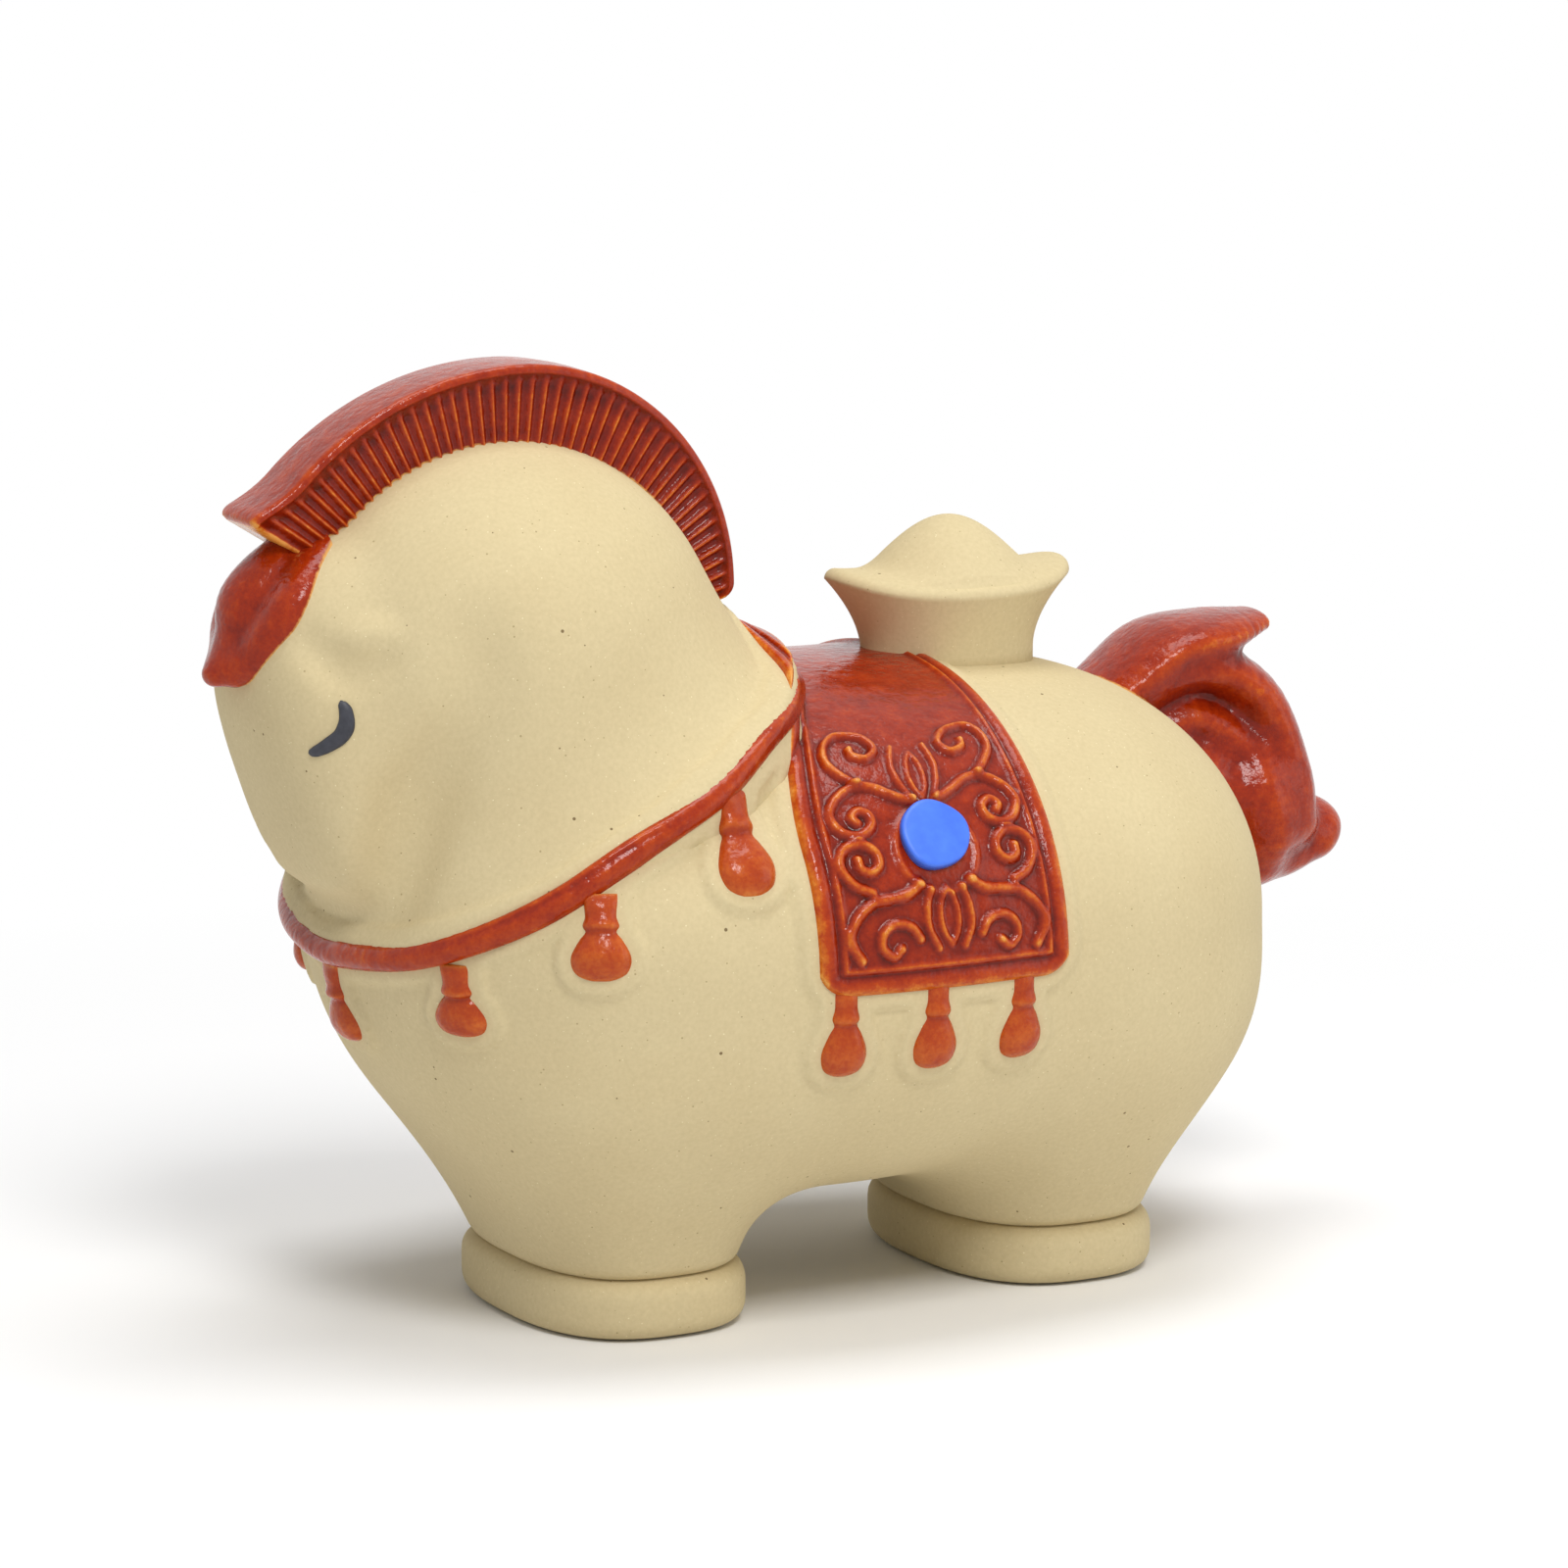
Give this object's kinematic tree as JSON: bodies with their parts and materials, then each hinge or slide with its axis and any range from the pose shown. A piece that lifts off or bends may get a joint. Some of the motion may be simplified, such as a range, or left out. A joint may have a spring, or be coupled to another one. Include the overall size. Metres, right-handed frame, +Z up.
{
  "type": "tea pet figurine",
  "caption": "Plump clay horse tea pet with a glazed ribbed mane, lobed tail, tasselled collar, saddle cloth with round gems and a boat-shaped ingot on its back.",
  "frame": {"origin": "on the ground, below the middle of the whole figure", "axes": "+X runs from the nose to the tail, +Y to the horse's right side, +Z up"},
  "size_m": [0.0994, 0.0554, 0.0741],
  "materials": {
    "clay": null,
    "glaze": null,
    "blue_glaze": null,
    "black_slip": null
  },
  "bodies": {
    "root": {"body_left_half": "clay", "body_right_half": "clay", "front_hooves": "clay", "rear_hooves": "clay", "head_and_neck": "clay", "left_ear": "clay", "right_ear": "clay", "gold_ingot": "clay", "left_eye": "black_slip", "right_eye": "black_slip", "mane_crest": "glaze", "forelock": "glaze", "tail": "glaze", "collar_strap": "glaze", "collar_tassel_centre": "glaze", "left_collar_tassel_1": "glaze", "left_collar_tassel_2": "glaze", "left_collar_tassel_3": "glaze", "right_collar_tassel_1": "glaze", "right_collar_tassel_2": "glaze", "right_collar_tassel_3": "glaze", "saddle_cloth": "glaze", "left_saddle_gem": "blue_glaze", "right_saddle_gem": "blue_glaze", "left_saddle_tassel_front": "glaze", "left_saddle_tassel_middle": "glaze", "left_saddle_tassel_rear": "glaze", "right_saddle_tassel_front": "glaze", "right_saddle_tassel_middle": "glaze", "right_saddle_tassel_rear": "glaze"}
  },
  "joints": []
}
